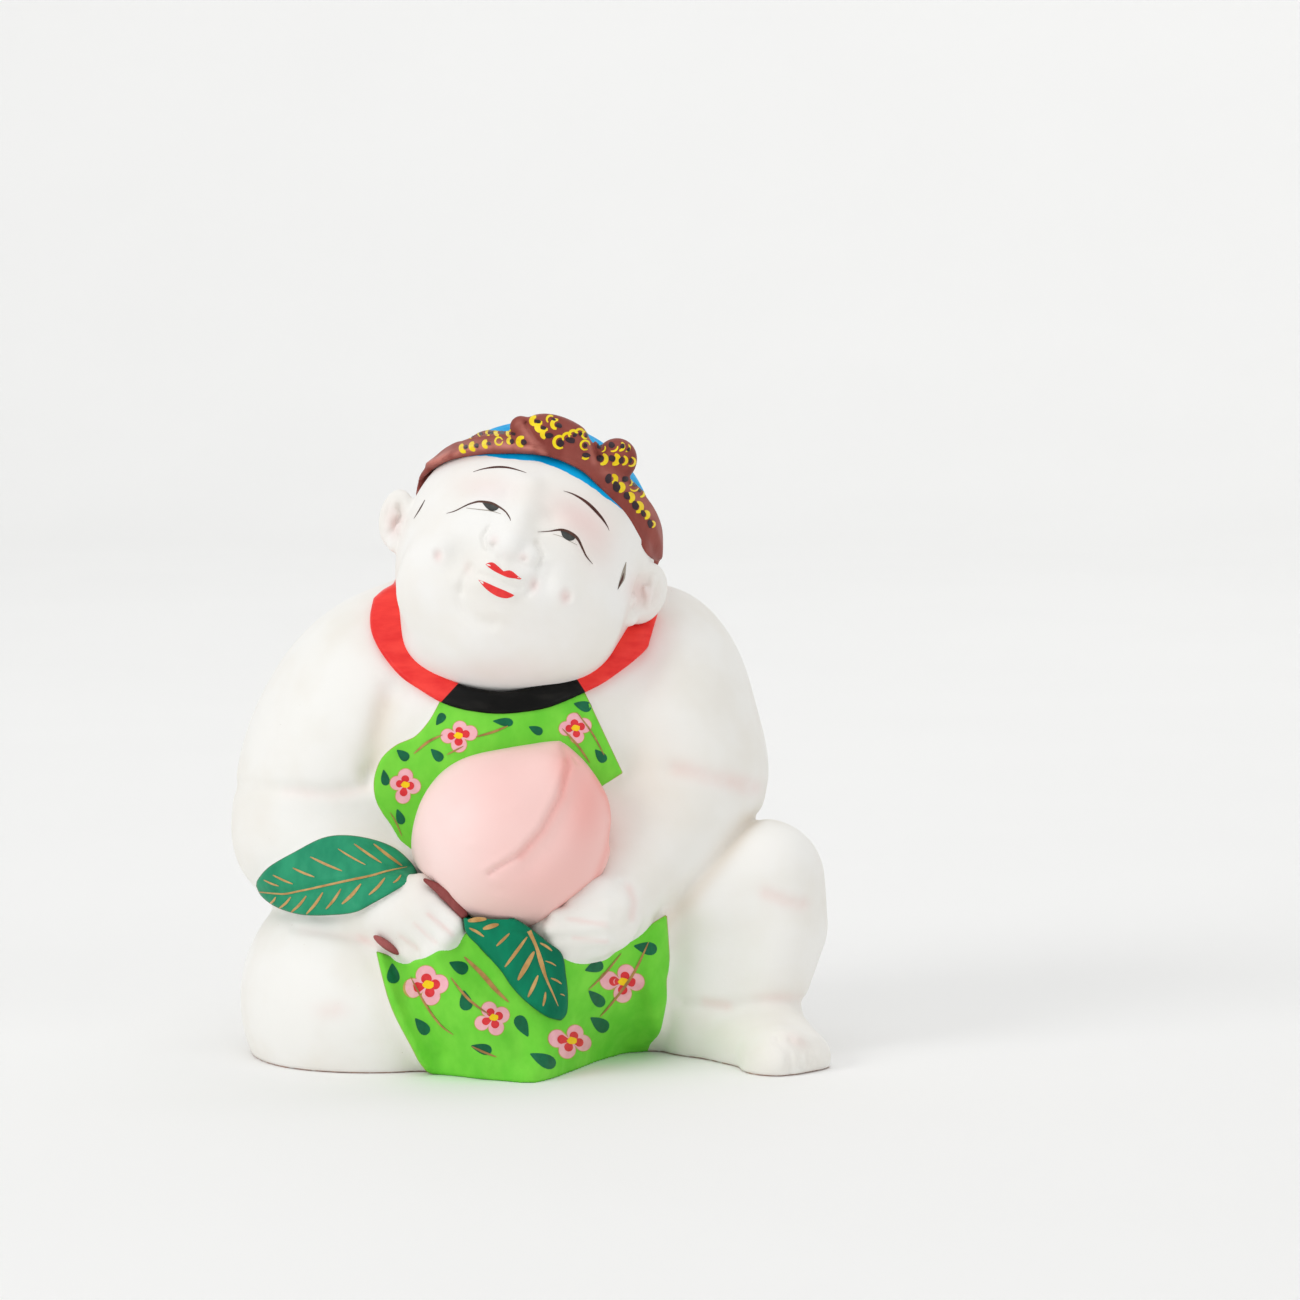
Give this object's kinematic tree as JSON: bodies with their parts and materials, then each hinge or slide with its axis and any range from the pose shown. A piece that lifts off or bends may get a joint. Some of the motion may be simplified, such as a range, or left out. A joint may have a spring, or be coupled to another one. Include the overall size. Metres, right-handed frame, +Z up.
{
  "type": "clay doll",
  "caption": "Moulded and painted clay doll of a plump seated boy with a knotted headband, round collar and flowered apron, holding a peach on a leafy stem.",
  "frame": {"origin": "middle of the doll's bounding box on the table, at the underside of its flat base", "axes": "+Z up; -Y is the doll's front, towards the viewer of its face; +X to that viewer's right, on the side of the raised knee"},
  "size_m": [0.1886, 0.132, 0.1998],
  "materials": {
    "white_painted_clay": "chalk-white ground under matt paint, slightly satin where handled"
  },
  "bodies": {
    "root": {"clay_doll": "white_painted_clay"}
  },
  "joints": []
}
